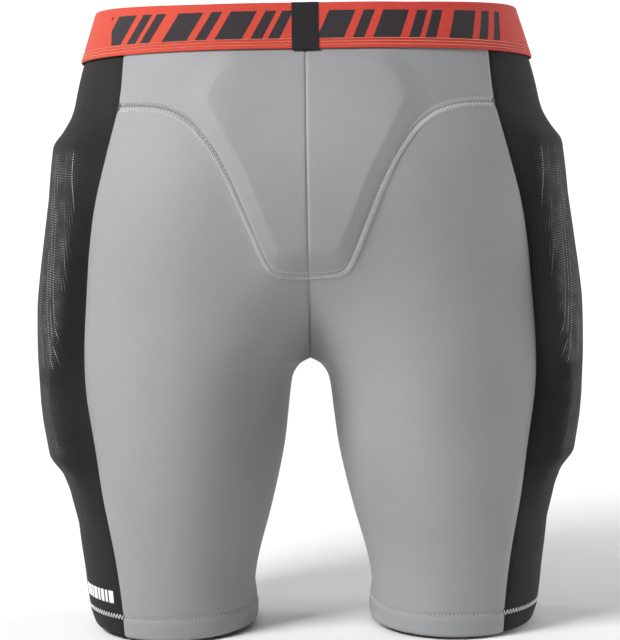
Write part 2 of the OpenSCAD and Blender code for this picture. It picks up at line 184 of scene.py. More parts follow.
def panel_angle(h, s, side):
    """Angle at a share s of the way from the centre (0) to the side seam (1); side -1 back, 1 front."""
    c, e = np.radians(centre_angle(h)), np.radians(side_angle(h))
    d, r_in, r_out = depth(h, side), inner_r(h), outer_x(h) - axis_x(h)
    inner = np.hypot(r_in * np.cos(c), d * (1 - np.sin(c))) * (1.11 - 0.11 * np.sin(c))
    outer = np.hypot(r_out * np.cos(e), d * (1 - np.sin(e))) * 1.04
    f = inner / (inner + outer)
    near = mix(np.degrees(c), 90, s / f)
    far = mix(90, np.degrees(e), (s - f) / (1 - f))
    return side * np.where(s < f, near, far)


def angle_at(h, x, side):
    """Angle of the point at a distance x (mm) from the centre plane."""
    a = np.where(x < axis_x(h), centre_angle(h), 90.0)
    for _ in range(8):
        a = np.degrees(np.arccos(np.clip((x - axis_x(h)) / oval_r(h, a), -1, 1)))
    return side * a


def tail_bump(h, x, inset=0.0):
    """Rise of the yoke over the tailbone pad: a flat top with rounded corners and an even bevel down."""
    sides = np.stack(np.broadcast_arrays(curve(TAIL, h) - x, h - tail_low, tail_high - h), 0)
    d = -np.log(np.exp(-0.3 * sides).sum(0)) / 0.3 + 1.5
    t = (d - inset + tail_foot) / (tail_bevel + tail_foot)
    soft = 0.5 * (t + np.sqrt(t * t + 0.09)) - 0.022
    under_band = ease((band_low - h) / 6)
    return under_band * tail_rise * (soft - 0.5 * ((soft - 1) + np.sqrt((soft - 1) ** 2 + 0.0012)))


def softened(table, h, reach):
    """The table's lines with their corners rounded over reach on either side."""
    return sum(line(table, h + k * reach) for k in (-1, -0.5, 0, 0.5, 1)) / 5


def side_share(h, q):
    """How far round the side panel its column q lies, 1 being the seam."""
    flat, beyond = softened(FLAT, h, 12), np.abs(q) - flat_share
    far = np.sign(q) * (flat + beyond * (1 - flat) / (1 - flat_share))
    return np.where(beyond <= 0, q * flat / flat_share, far)


def side_bump(h, q):
    """Rise of the side mesh over the hip and thigh pads."""
    return softened(RISE, h, 2.5) * (1 - ease((np.abs(q) - flat_share) / (1 - flat_share)))



def yoke_at(s):
    """Height of the yoke seam: low across the seat, a rounded turn, then a climb that levels off."""
    d = (s - yoke_flat) / (1 - yoke_flat)
    t = (d + np.sqrt(d * d + yoke_round * yoke_round)) / 2
    return yoke_high - (yoke_high - yoke_low) * (1 - np.minimum(t, 1)) ** yoke_level


def seam_height(side, s):
    return yoke_at(s) if side < 0 else curve(POUCH, s)


# ---------------------------------------------------------------- meshes


def grid_normals(p, flip):
    """Unit normals of a grid of points."""
    n = np.cross(np.gradient(p, axis=1), np.gradient(p, axis=0))
    n /= np.maximum(np.linalg.norm(n, axis=-1, keepdims=True), 1e-12)
    return -n if flip else n


def grid_faces(rows, cols, at=0, flip=False, wrap=False):
    i, j = np.meshgrid(np.arange(rows - 1), np.arange(cols if wrap else cols - 1), indexing="ij")
    a = at + i * cols + j
    b = at + i * cols + (j + 1) % cols
    quads = np.stack([a, b, b + cols, a + cols], -1).reshape(-1, 4)
    return quads[:, ::-1] if flip else quads


def cloth_lengths(p):
    """Distances along the rows and up the columns of a grid, in metres, for weave and stitch patterns."""
    u = np.concatenate([np.zeros(p.shape[:1] + (1,)),
                        np.cumsum(np.linalg.norm(np.diff(p, axis=1), axis=-1), axis=1)], 1)
    v = np.concatenate([np.zeros((1,) + p.shape[1:2]),
                        np.cumsum(np.linalg.norm(np.diff(p, axis=0), axis=-1), axis=0)], 0)
    return np.stack([u, v], -1)


def mesh_object(name, points, faces, material, uv=None):
    mesh = bpy.data.meshes.new(name)
    mesh.from_pydata([tuple(p) for p in points], [], [tuple(int(k) for k in f) for f in faces])
    mesh.polygons.foreach_set("use_smooth", np.ones(len(mesh.polygons), bool))
    if uv is not None:
        layer = mesh.uv_layers.new(name="cloth")
        corner = np.zeros(len(mesh.loops), np.int32)
        mesh.loops.foreach_get("vertex_index", corner)
        layer.data.foreach_set("uv", uv[corner].astype(np.float32).ravel())
    if material:
        mesh.materials.append(material)
    obj = bpy.data.objects.new(name, mesh)
    bpy.context.scene.collection.objects.link(obj)
    return obj


def shell(name, outer, inner, material, uv=None, flip=False, wrap=False):
    """A closed sheet between an outer and an inner grid of points."""
    rows, cols = outer.shape[:2]
    count = rows * cols
    if uv is None:
        uv = cloth_lengths(outer)
    faces = [grid_faces(rows, cols, 0, flip, wrap), grid_faces(rows, cols, count, not flip, wrap)]
    across = np.arange(cols)
    low = np.stack([across, np.roll(across, -1)], -1)
    if not wrap:
        low = low[:-1]
    high = low + (rows - 1) * cols
    bottom = np.stack([low[:, 1], low[:, 0], low[:, 0] + count, low[:, 1] + count], -1)
    top = np.stack([high[:, 0], high[:, 1], high[:, 1] + count, high[:, 0] + count], -1)
    rims = [bottom, top]
    if not wrap:
        up = np.arange(rows) * cols
        start = np.stack([up[:-1], up[1:], up[1:] + count, up[:-1] + count], -1)
        end = np.stack([up[1:], up[:-1], up[:-1] + count, up[1:] + count], -1) + (cols - 1)
        rims += [start, end]
    faces += [r[:, ::-1] if flip else r for r in rims]
    points = np.concatenate([outer.reshape(-1, 3), inner.reshape(-1, 3)])
    both = np.concatenate([uv.reshape(-1, 2), uv.reshape(-1, 2)])
    return mesh_object(name, points, np.concatenate(faces), material, both)


def mirrored(points):
    return points * np.array([-1.0, 1.0, 1.0])


def half(points, hand):
    return points if hand == "right" else mirrored(points)


def tubes(name, routes, radius, material, sides=6):
    """One mesh of round threads, each along its own short list of points."""
    points, faces, uvs = [], [], []
    turn = np.arange(sides) / sides * 2 * math.pi
    at = 0
    for route, normal in routes:
        along = np.gradient(route, axis=0)
        along /= np.maximum(np.linalg.norm(along, axis=1, keepdims=True), 1e-12)
        side = np.cross(normal, along)
        side /= np.maximum(np.linalg.norm(side, axis=1, keepdims=True), 1e-12)
        up = np.cross(along, side)
        taper = np.ones(len(route))
        taper[0] = taper[-1] = 0.45
        ring = (np.cos(turn)[None, :, None] * side[:, None] + np.sin(turn)[None, :, None] * up[:, None])
        body = route[:, None] + radius * taper[:, None, None] * ring
        n = len(route)
        points.append(body.reshape(-1, 3))
        faces.append(grid_faces(n, sides, at, wrap=True))
        caps = np.array([[at + k for k in range(sides)][::-1],
                         [at + (n - 1) * sides + k for k in range(sides)]])
        faces.append(caps)
        length = np.linspace(0, 1, n)[:, None] * np.ones(sides)
        uvs.append(np.stack([length, np.ones((n, 1)) * turn], -1).reshape(-1, 2))
        at += n * sides
    flat = [tuple(f) for block in faces for f in block]
    return mesh_object(name, np.concatenate(points), flat, material, np.concatenate(uvs))


# ---------------------------------------------------------------- materials


class Nodes:
    """A short way to write a shader's node tree."""

    def __init__(self, name, rough, **fixed):
        self.material = bpy.data.materials.new(name)
        self.material.use_nodes = True
        self.tree = self.material.node_tree
        self.shader = self.tree.nodes["Principled BSDF"]
        self.shader.inputs["Roughness"].default_value = rough
        for key, value in fixed.items():
            self.shader.inputs[key.replace("_", " ")].default_value = value

    def new(self, kind, **settings):
        node = self.tree.nodes.new("ShaderNode" + kind)
        for key, value in settings.items():
            setattr(node, key, value)
        return node

    def link(self, source, target):
        self.tree.links.new(source, target)

    def put(self, node, values):
        for key, value in values.items():
            if hasattr(value, "is_output"):
                self.link(value, node.inputs[key])
            else:
                node.inputs[key].default_value = value

    def cloth(self):
        """The cloth's own coordinates, in metres along and up the panel."""
        uv = self.new("UVMap", uv_map="cloth")
        split = self.new("SeparateXYZ")
        self.link(uv.outputs[0], split.inputs[0])
        return uv.outputs[0], split.outputs[0], split.outputs[1]

    def place(self):
        return self.new("TexCoord").outputs["Object"]

    def math(self, operation, a, b=0.0, c=0.0, clamp=False):
        node = self.new("Math", operation=operation, use_clamp=clamp)
        self.put(node, {0: a, 1: b, 2: c})
        return node.outputs[0]

    def noise(self, vector, scale, detail=3.0, roughness=0.5):
        node = self.new("TexNoise")
        self.put(node, {"Vector": vector, "Scale": scale, "Detail": detail, "Roughness": roughness})
        return node.outputs["Fac"]

    def spread(self, value, low, high, to_low=0.0, to_high=1.0):
        node = self.new("MapRange", interpolation_type="SMOOTHSTEP")
        self.put(node, {"Value": value, "From Min": low, "From Max": high,
                        "To Min": to_low, "To Max": to_high})
        return node.outputs["Result"]

    def colour(self, factor, a, b):
        node = self.new("Mix", data_type="RGBA")
        self.put(node, {0: factor, 6: a, 7: b})
        return node.outputs[2]

    def bump(self, height, distance, strength=1.0, below=None):
        node = self.new("Bump")
        self.put(node, {"Height": height, "Distance": distance, "Strength": strength})
        if below is not None:
            self.link(below, node.inputs["Normal"])
        return node.outputs["Normal"]

    def base(self, colour):
        self.link(colour, self.shader.inputs["Base Color"])

    def rough(self, value):
        self.link(value, self.shader.inputs["Roughness"])

    def normal(self, value):
        self.link(value, self.shader.inputs["Normal"])


def rgb(r, g, b):
    return (r, g, b, 1.0)


def ribs(n, coordinate, pitch, sharp=1.0):
    """A wave of the given pitch, from 0 to 1."""
    turns = n.math("MULTIPLY", coordinate, 2 * math.pi / pitch)
    wave = n.math("MULTIPLY_ADD", n.math("SINE", turns), 0.5, 0.5)
    return wave if sharp == 1 else n.math("POWER", wave, sharp)


def jersey_material():
    """Smooth grey warp-knit: fine wales, courses and a soft sheen."""
    n = Nodes("grey_jersey", 0.62, Sheen_Weight=0.12, Sheen_Roughness=0.45, IOR=1.45)
    n.shader.inputs["Specular IOR Level"].default_value = 0.35
    _, u, v = n.cloth()
    place = n.place()
    cloudy = n.noise(place, 14, 3)
    heather = n.noise(place, 900, 2)
    wales = ribs(n, u, 0.0009)
    courses = ribs(n, v, 0.0012)
    tone = n.math("MULTIPLY_ADD", cloudy, 0.5, n.math("MULTIPLY", heather, 0.5))
    shade = n.colour(n.spread(tone, 0.3, 0.7), rgb(0.262, 0.266, 0.272), rgb(0.298, 0.302, 0.308))
    # Painted shade: the knit is darker between its loops and lighter on their tops, where the bump raises it.
    painted_loop_shading = n.math("MULTIPLY", n.math("MULTIPLY", wales, courses), 0.5)
    n.base(n.colour(painted_loop_shading, shade, rgb(0.325, 0.33, 0.338)))
    n.rough(n.spread(heather, 0.25, 0.75, 0.55, 0.72))
    knit = n.bump(n.math("ADD", wales, n.math("MULTIPLY", courses, 0.6)), 0.00004, 0.35)
    n.normal(n.bump(cloudy, 0.0012, 0.25, knit))
    return n.material


def mesh_material(name, lit):
    """Black open knit with rows of small holes. Over a pad the pale foam shows in some columns of them."""
    n = Nodes(name, 0.85, Sheen_Weight=0.04, Sheen_Roughness=0.5)
    n.shader.inputs["Specular IOR Level"].default_value = 0.2
    _, u, v = n.cloth()
    place = n.place()
    drift = n.math("MULTIPLY", n.math("SUBTRACT", n.noise(place, 45, 2), 0.5), 0.0012)
    across = n.math("ADD", u, drift)
    pitch_u, pitch_v = 0.0020, 0.0018
    column = ribs(n, across, pitch_u, 1.5)
    row = ribs(n, v, pitch_v)
    open_share = n.math("MULTIPLY", column, row)
    hole = n.spread(open_share, 0.25, 0.6)
    fine = n.noise(place, 1500, 2)
    cloudy = n.noise(place, 22, 3)
    yarn = n.colour(n.spread(fine, 0.3, 0.7), rgb(0.009, 0.008, 0.0095), rgb(0.024, 0.022, 0.024))
    worn = n.colour(n.spread(cloudy, 0.35, 0.7), yarn, rgb(0.021, 0.0195, 0.021))
    # The holes are painted near-black: partly the black lining behind them, partly painted shade inside them.
    dark = n.colour(hole, worn, rgb(0.0010, 0.0010, 0.0010))
    if lit:
        pad = n.new("Attribute", attribute_name="over_pad").outputs["Fac"]
        index = n.math("FLOOR", n.math("MULTIPLY_ADD", across, 1 / pitch_u, 0.25))
        chance = n.new("TexWhiteNoise", noise_dimensions="1D")
        n.link(index, chance.inputs["W"])
        run = n.new("CombineXYZ")
        n.put(run, {0: n.math("MULTIPLY", index, 3.7), 1: n.math("MULTIPLY", v, 38.0)})
        along = n.noise(run.outputs[0], 1, 2, 0.6)
        strong = n.math("MULTIPLY", n.spread(chance.outputs["Value"], 0.62, 0.84),
                        n.spread(along, 0.33, 0.52))
        faint = n.spread(n.noise(place, 55, 3, 0.6), 0.40, 0.66, 0.05, 0.42)
        shown = n.math("MAXIMUM", strong, faint)
        glow = n.math("MULTIPLY", n.math("MULTIPLY", n.spread(open_share, 0.34, 0.72), pad), shown)
        n.base(n.colour(glow, dark, rgb(0.62, 0.62, 0.60)))
    else:
        n.base(dark)
    n.rough(n.spread(fine, 0.3, 0.7, 0.7, 0.9))
    raised = n.math("SUBTRACT", n.math("MULTIPLY", ribs(n, v, pitch_v / 2), 0.3), hole)
    n.normal(n.bump(fine, 0.00012, 0.5, n.bump(raised, 0.0003, 0.8)))
    return n.material


def band_material():
    """Woven elastic: ribs across, with a black pattern of slanted bars between red borders."""
    n = Nodes("band_elastic", 0.8, Sheen_Weight=0.1, Sheen_Roughness=0.5)
    n.shader.inputs["Specular IOR Level"].default_value = 0.3
    _, u, v = n.cloth()
    place = n.place()
    wobble = n.math("MULTIPLY", n.math("SUBTRACT", n.noise(place, 1500, 1), 0.5), 0.0007)
    slant = n.math("ADD", n.math("SUBTRACT", u, n.math("MULTIPLY", v, 0.45)), wobble)
    level = n.math("ADD", v, wobble)
    bars = None
    period = 0.094
    bars_of_a_period = ((0.004, 0.019), (0.029, 0.008), (0.043, 0.019), (0.068, 0.008), (0.080, 0.008))
    for start, width in bars_of_a_period:
        along = n.math("WRAP", n.math("SUBTRACT", slant, start), period, 0.0)
        bar = n.math("LESS_THAN", along, width)
        bars = bar if bars is None else n.math("MAXIMUM", bars, bar)
    low, high = 0.22 * band_h * MM, 0.82 * band_h * MM
    inside = n.math("MULTIPLY", n.math("GREATER_THAN", level, low), n.math("LESS_THAN", level, high))
    split = n.new("SeparateXYZ")
    n.link(place, split.inputs[0])
    middle = n.math("LESS_THAN", n.math("ABSOLUTE", split.outputs[0]), 0.141)
    pattern = n.math("MULTIPLY", n.math("MULTIPLY", bars, inside), middle)
    turn = n.spread(split.outputs[0], -0.16, 0.16)
    fine = n.noise(place, 1400, 2)
    red = n.colour(turn, rgb(0.50, 0.048, 0.022), rgb(0.57, 0.032, 0.026))
    red = n.colour(n.spread(fine, 0.35, 0.8), red, rgb(0.61, 0.078, 0.046))
    black = n.colour(n.spread(fine, 0.35, 0.7), rgb(0.014, 0.011, 0.014), rgb(0.038, 0.030, 0.034))
    n.base(n.colour(pattern, red, black))
    weft = ribs(n, u, 0.0011)
    warp = ribs(n, v, 0.0016)
    weave = n.math("ADD", n.math("MULTIPLY", weft, 0.7), n.math("MULTIPLY", warp, 0.5))
    weave = n.math("SUBTRACT", weave, n.math("MULTIPLY", pattern, 0.8))
    n.rough(n.spread(fine, 0.3, 0.7, 0.68, 0.86))
    n.normal(n.bump(weave, 0.00022, 0.75))
    return n.material


def tape_material(name, dark, light, pitch=0.0012):
    """Narrow woven tape."""
    n = Nodes(name, 0.75, Sheen_Weight=0.04, Sheen_Roughness=0.4)
    n.shader.inputs["Specular IOR Level"].default_value = 0.25
    _, u, v = n.cloth()
    place = n.place()
    fine = n.noise(place, 1300, 2)
    twill = ribs(n, n.math("ADD", u, v), pitch)
    shade = n.colour(n.spread(fine, 0.3, 0.7), dark, light)
    # Painted shade: the twill is darker in its grooves and lighter on its ridges, where the bump raises it.
    n.base(n.colour(n.math("MULTIPLY", twill, 0.35), shade, light))
    n.rough(n.spread(fine, 0.3, 0.7, 0.6, 0.82))
    n.normal(n.bump(twill, 0.0002, 0.7))
    return n.material


def thread_material(name, dark, light):
    """Twisted sewing thread."""
    n = Nodes(name, 0.5, Sheen_Weight=0.3, Sheen_Roughness=0.3)
    place = n.place()
    ply = n.noise(place, 2600, 2)
    n.base(n.colour(n.spread(ply, 0.3, 0.7), dark, light))
    n.rough(n.spread(ply, 0.3, 0.7, 0.42, 0.65))
    n.normal(n.bump(ply, 0.0002, 0.7))
    return n.material


def foam_material():
    """Moulded foam with a fine closed skin."""
    n = Nodes("pad_foam", 0.85)
    n.shader.inputs["Specular IOR Level"].default_value = 0.25
    place = n.place()
    cells = n.new("TexVoronoi")
    n.put(cells, {"Vector": place, "Scale": 1500})
    soft = n.noise(place, 30, 3)
    shade = n.colour(n.spread(soft, 0.35, 0.65), rgb(0.36, 0.365, 0.37), rgb(0.44, 0.445, 0.45))
    # Painted shade: each cell is darker towards its middle, where the bump sinks it into a pit.
    n.base(n.colour(n.spread(cells.outputs["Distance"], 0.0, 0.45), rgb(0.30, 0.305, 0.31), shade))
    n.rough(n.spread(soft, 0.3, 0.7, 0.78, 0.92))
    n.normal(n.bump(cells.outputs["Distance"], 0.0002, 0.6))
    return n.material


def silicone_material():
    n = Nodes("clear_silicone", 0.35, Subsurface_Weight=0.15, IOR=1.41)
    place = n.place()
    soft = n.noise(place, 220, 3)
    n.base(n.colour(n.spread(soft, 0.3, 0.7), rgb(0.60, 0.61, 0.62), rgb(0.74, 0.75, 0.76)))
    n.rough(n.spread(soft, 0.3, 0.7, 0.3, 0.5))
    n.normal(n.bump(soft, 0.0002, 0.4))
    return n.material


def print_material():
    n = Nodes("white_print", 0.5)
    place = n.place()
    crack = n.noise(place, 1500, 2)
    n.base(n.colour(n.spread(crack, 0.25, 0.5), rgb(0.70, 0.70, 0.70), rgb(0.90, 0.90, 0.90)))
    n.rough(n.spread(crack, 0.3, 0.7, 0.4, 0.6))
    n.normal(n.bump(crack, 0.0001, 0.5))
    return n.material


jersey = jersey_material()
side_knit = mesh_material("black_mesh", lit=True)
lining_knit = mesh_material("black_lining_mesh", lit=False)
elastic = band_material()
black_tape = tape_material("black_tape", rgb(0.005, 0.005, 0.006), rgb(0.018, 0.018, 0.020))
white_tape = tape_material("white_tape", rgb(0.72, 0.72, 0.70), rgb(0.86, 0.86, 0.84), 0.0008)
grey_thread = thread_material("grey_thread", rgb(0.26, 0.262, 0.27), rgb(0.42, 0.425, 0.43))
# Painted shade: the centre seam's ridge is dark for the shade at the bottom of its groove.
seam_groove_shade = thread_material("seam_groove_shade", rgb(0.06, 0.06, 0.063), rgb(0.13, 0.13, 0.135))
white_thread = thread_material("white_thread", rgb(0.62, 0.62, 0.62), rgb(0.85, 0.85, 0.85))
orange_thread = thread_material("orange_thread", rgb(0.72, 0.24, 0.15), rgb(0.86, 0.48, 0.36))
# Painted shade: the flatlock's bed is dark for the shade in the gaps between its stitches; the cloth there is
# grey.
flatlock_gap_shade = thread_material("flatlock_gap_shade", rgb(0.035, 0.035, 0.037), rgb(0.085, 0.085, 0.088))
bar_thread = thread_material("bar_thread", rgb(0.40, 0.40, 0.41), rgb(0.60, 0.60, 0.61))
pale_thread = thread_material("pale_thread", rgb(0.32, 0.32, 0.33), rgb(0.50, 0.50, 0.51))
bright_thread = thread_material("bright_thread", rgb(0.56, 0.56, 0.56), rgb(0.78, 0.78, 0.78))
black_thread = thread_material("black_thread", rgb(0.008, 0.008, 0.009), rgb(0.035, 0.035, 0.038))
foam = foam_material()
silicone = silicone_material()
white_ink = print_material()

# ---------------------------------------------------------------- placing pieces


def finish_piece(piece, node, hand=None):
    """Puts a piece that has no side on the pelvis body, or bakes in the transform of a side's piece, and
    hides the CAD part it stands for.
    """
    if hand is None:
        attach(piece, "pelvis")
    else:
        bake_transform(piece)
    if node:
        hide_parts(node)
    return piece


# ---------------------------------------------------------------- panels

cloth_t = 0.9
hem_fold = 14
lap = 8          # how far the fabric runs up behind the waistband


def seam_dip(distance, dip=0.9, reach=2.2):
    """The cloth is drawn in along a seam, distance away in mm."""
    return -dip * np.exp(-(np.maximum(distance, 0) / reach) ** 2)


def hem_shape(h):
    """A folded hem: a little thicker under the stitch line, and drawn in along it."""
    fold = 0.7 * (1 - ease((h - hem_fold + 1) / 2)) * ease((h + 0.5) / 1.2)
    return fold - 0.9 * np.exp(-((h - hem_fold) / 1.9) ** 2)


def spaced(rows, *extra):
    return np.unique(np.concatenate([np.asarray(rows, float), *[np.asarray(e, float) for e in extra]]))


def edge_shares(count, width):
    """Shares from 0 to 1, closer together near both ends, for a panel about width mm wide."""
    near = np.array([0, 0.35, 0.7, 1.1, 1.6, 2.3, 3.6, 5.5]) / width
    return spaced(np.linspace(near[-1], 1 - near[-1], count), near, 1 - near)


def panel_point(h, s, side, out):
    return skin(h, panel_angle(h, mix(0.0008, 0.9992, s), side), out)


def panel_edges(h, s, width=150.0):
    """Distances in mm from the centre or inner edge and from the side seam."""
    girth = width * np.clip((h + 120) / 400, 0.75, 1.15)
    return s * girth, (1 - s) * girth


def leg_panel(hand, side):
    s = edge_shares(86, 150)
    below = spaced(np.linspace(0, hem_fold * 2, 22), np.linspace(hem_fold * 2, crotch_h - 14, 62),
                   np.linspace(crotch_h - 14, crotch_h, 14))
    u = np.concatenate([np.linspace(0, 1, 75)[1:] ** 1.7])
    top = seam_height(side, s) - 0.3
    h = np.concatenate([np.repeat(below[:, None], len(s), 1),
                        mix(crotch_h, top[None, :], u[:, None])])
    ss = np.broadcast_to(s, h.shape)
    inner, outer = panel_edges(h, ss)
    top_gap = (top[None, :] - h) * 0.8
    out = seam_dip(inner, 0.85, 1.1) + seam_dip(outer) + seam_dip(top_gap, 0.6, 2.8) + hem_shape(h)
    if side < 0:
        out = out + tail_bump(h, skin(h, panel_angle(h, ss, side))[..., 0] / MM)
    face = panel_point(h, ss, side, out)
    under = face - grid_normals(face, side < 0) * cloth_t * MM
    name = ("rear" if side < 0 else "front") + "_leg_panel_" + hand
    piece = shell(name + "_cloth", half(face, hand), half(under, hand), jersey,
                  flip=(side > 0) != (hand == "left"))
    return finish_piece(piece, name, hand)


def upper_panel(hand, side):
    s = edge_shares(100, 150)
    rows = np.linspace(0, 1, 96)
    low = seam_height(side, s) + 0.3
    h = mix(low[None, :], band_low + lap, rows[:, None])
    ss = np.broadcast_to(s, h.shape)
    inner, outer = panel_edges(h, ss)
    out = seam_dip(inner, 0.85, 1.1) + seam_dip(outer) + seam_dip((h - low[None, :]) * 0.8, 0.6, 2.8)
    if side < 0:
        x = skin(h, panel_angle(h, ss, side))[..., 0] / MM
        out = out + tail_bump(h, x)
    face = panel_point(h, ss, side, out)
    under = face - grid_normals(face, side < 0) * cloth_t * MM
    node = ("seat_yoke_" if side < 0 else "front_pouch_") + hand
    piece = shell(node + "_cloth", half(face, hand), half(under, hand), jersey,
                  flip=(side > 0) != (hand == "left"))
    return finish_piece(piece, node, hand)


knit_lean = 0.16   # the mesh is cut a little off its grain


def side_panel(hand):
    q = spaced(np.linspace(-0.93, 0.93, 75), -1 + np.array([0, 0.006, 0.013, 0.022, 0.035, 0.05]),
               1 - np.array([0, 0.006, 0.013, 0.022, 0.035, 0.05]))
    h = spaced(np.linspace(0, hem_fold * 2, 22), np.linspace(hem_fold * 2, band_low + lap, 190))
    hh, qq = np.meshgrid(h, q, indexing="ij")
    share = side_share(hh, qq)
    out = side_bump(hh, qq) + seam_dip((1 - np.abs(share)) * 72) + hem_shape(hh)
    face = skin(hh, share * side_angle(hh) * 0.999, out)
    under = face - grid_normals(face, False) * cloth_t * MM
    uv = cloth_lengths(face)
    uv[..., 0] -= uv[:, len(q) // 2][:, None, 0] + knit_lean * uv[..., 1]
    piece = shell("side_mesh_" + hand + "_cloth", half(face, hand), half(under, hand), side_knit, uv,
                  flip=hand == "left")
    pads = np.maximum(ease((hh - hip_low - 1) / 4) * ease((hip_high - 6 - hh) / 5),
                      ease((hh - thigh_low - 4) / 4) * ease((thigh_high - 1 - hh) / 4))
    pads = pads * ease((0.86 - np.abs(qq)) / 0.06) * mix(0.25, 1, ease((np.abs(share) - 0.3) / 0.25))
    pads = pads * np.where(hh < thigh_high, 0.4, 1)
    over = piece.data.attributes.new("over_pad", "FLOAT", "POINT")
    over.data.foreach_set("value", np.concatenate([pads.ravel(), np.zeros(pads.size)]).astype(np.float32))
    return finish_piece(piece, "side_mesh_" + hand, hand)


for hand in SIDES:
    for side in (-1, 1):
        leg_panel(hand, side)
        upper_panel(hand, side)
    side_panel(hand)

# ---------------------------------------------------------------- linings and pads


def pocket_lining(hand):
    h = np.linspace(92, 392, 90)
    q = np.linspace(-0.97, 0.97, 60)
    hh, qq = np.meshgrid(h, q, indexing="ij")
    face = skin(hh, qq * side_angle(hh), -2.4)
    under = skin(hh, qq * side_angle(hh), -3.4)
    piece = shell("pad_pocket_lining_" + hand + "_cloth", half(face, hand), half(under, hand), lining_knit,
                  flip=hand == "left")
    return finish_piece(piece, "pad_pocket_lining_" + hand, hand)


def side_pad(kind, hand, low, high):
    """A moulded foam pad: bevelled edge, grooves that let it bend, and rows of vent holes."""
    h = np.linspace(low, high, int(high - low) + 1)
    q = np.linspace(-0.9, 0.9, 100)
    hh, qq = np.meshgrid(h, q, indexing="ij")
    share = side_share(hh, qq)
    edge = np.minimum(np.minimum(hh - low, high - hh), (side_share(hh, 0.9) - np.abs(share)) * 68)
    top = side_bump(hh, qq) - 2.4
    thick = top + 1.5
    round_off = np.sqrt(np.clip(1 - (1 - np.clip(edge / 5, 0, 1)) ** 2, 0, 1))
    across = (hh - (low + high) / 2) % 27 - 13.5
    groove = 2.2 * np.exp(-(across / 1.6) ** 2) * ease(edge / 8)
    vents_h = (hh - low) % 9 - 4.5
    vents_q = (share * 68) % 11 - 5.5
    vents = 1.6 * np.exp(-((vents_h**2 + vents_q**2) / 2.2) ** 2) * ease((edge - 7) / 4)
    top = -1.5 + np.maximum(thick * mix(0.25, 1, round_off) - groove - vents, 0.4)
    face = skin(hh, share * side_angle(hh), top)
    under = skin(hh, share * side_angle(hh), -1.5)
    name = kind + "_pad_" + hand
    piece = shell(name + "_foam", half(face, hand), half(under, hand), foam, flip=hand == "left")
    return finish_piece(piece, name, hand)


def back_points(h, x, out):
    p = skin(h, angle_at(h, np.abs(x), -1), out)
    p[..., 0] = np.where(np.abs(x) < 0.05, x * MM, np.sign(x) * p[..., 0])
    return p


def tailbone_pad():
    inset = 9
    h = np.linspace(tail_low + inset, tail_high - inset, 110)
    u = np.linspace(-1, 1, 111)
    hh, uu = np.meshgrid(h, u, indexing="ij")
    x = uu * (line(TAIL, hh) - inset)
    groove = 1.6 * np.exp(-(((hh - 290) % 30 - 15) / 1.5) ** 2) * ease((0.86 - np.abs(uu)) / 0.1)
    top = tail_bump(hh, np.abs(x), inset / 2) - 3.2 - groove
    face = back_points(hh, x, np.maximum(top, -1.1))
    under = back_points(hh, x, -1.5)
    piece = shell("tailbone_pad_foam", face, under, foam)
    return finish_piece(piece, "tailbone_pad")


def tailbone_lining():
    h = np.linspace(268, 414, 70)
    u = np.linspace(-1, 1, 80)
    hh, uu = np.meshgrid(h, u, indexing="ij")
    x = uu * (line(TAIL, hh) + 5)
    piece = shell("tailbone_pocket_lining_cloth", back_points(hh, x, -2.4), back_points(hh, x, -3.4),
                  lining_knit)
    return finish_piece(piece, "tailbone_pocket_lining")


linings = [tailbone_lining()]
for hand in SIDES:
    linings.append(pocket_lining(hand))
    side_pad("hip", hand, hip_low, hip_high)
    side_pad("thigh", hand, thigh_low, thigh_high)
tailbone_pad()

# ---------------------------------------------------------------- waistband

band_gap, band_t = 0.9, 2.2


def body_loop(h, out, count=150):
    """Closed loops round the whole body, from the centre back round the wearer's right, and their lengths."""
    s = np.linspace(0, 1, count)
    q = np.linspace(-1, 1, 60)[1:-1]
    back = skin(h, panel_angle(h, mix(0.0005, 1, s), -1), out)
    flank = skin(h, q * side_angle(h), out)
    front = skin(h, panel_angle(h, mix(0.0005, 1, s[::-1]), 1), out)
    right = np.concatenate([back, flank, front], axis=-2)
    return np.concatenate([right, mirrored(right[..., ::-1, :])], axis=-2)


def loops(heights, outs):
    return np.stack([body_loop(np.full(1, h), out) for h, out in zip(heights, outs)])


def evened(grid, count):
    """Each row's points spread evenly along it."""
    rows = []
    for row in grid:
        closed = np.concatenate([row, row[:1]])
        length = np.concatenate([[0], np.cumsum(np.linalg.norm(np.diff(closed, axis=0), axis=1))])
        want = np.linspace(0, length[-1], count, endpoint=False)
        rows.append(np.stack([np.interp(want, length, closed[:, k]) for k in range(3)], -1))
    return np.stack(rows)


def loop_uv(grid, heights):
    """Distance round from the centre back, and height above the band's lower edge."""
    ring = grid[len(grid) // 2]
    step = np.linalg.norm(np.roll(ring, -1, 0) - ring, axis=1)
    u = np.concatenate([[0], np.cumsum(step)[:-1]])
    v = (np.asarray(heights) - band_low) * MM
    return np.stack(np.meshgrid(u, v), -1)


def top_wave(p):
    """How far the waistband's upper part stands above its level at the sides, or sinks at the back."""
    share = np.clip((p[..., 2] / MM + band_h) / band_h, 0, 1)
    back = np.clip(-p[..., 1] / 0.09, 0, 1)
    return (1.5 - 4.5 * back**2) * share * MM


def waistband():
    edge = np.array([0, 0.25, 0.6, 1.1, 1.8])
    middle_rows = np.linspace(band_low + 3, total_h - 3, 22)
    heights = np.concatenate([band_low + edge, middle_rows, total_h - edge[::-1]])
    inset = np.minimum(heights - band_low, total_h - heights)
    rolled = band_t / 2 * (1 - np.sqrt(np.clip(1 - (1 - np.clip(inset / 1.1, 0, 1)) ** 2, 0, 1)))
    pinch = 0.35 * np.exp(-((heights - band_low - 5) / 3.2) ** 2)
    outer = evened(loops(heights, band_gap + band_t - rolled - pinch), 420)
    inner = evened(loops(heights, band_gap + rolled), 420)
    for grid in (outer, inner):
        grid[..., 2] += top_wave(grid)
    piece = shell("waistband_elastic", outer, inner, elastic, loop_uv(outer, heights), wrap=True)
    return finish_piece(piece, "waistband")


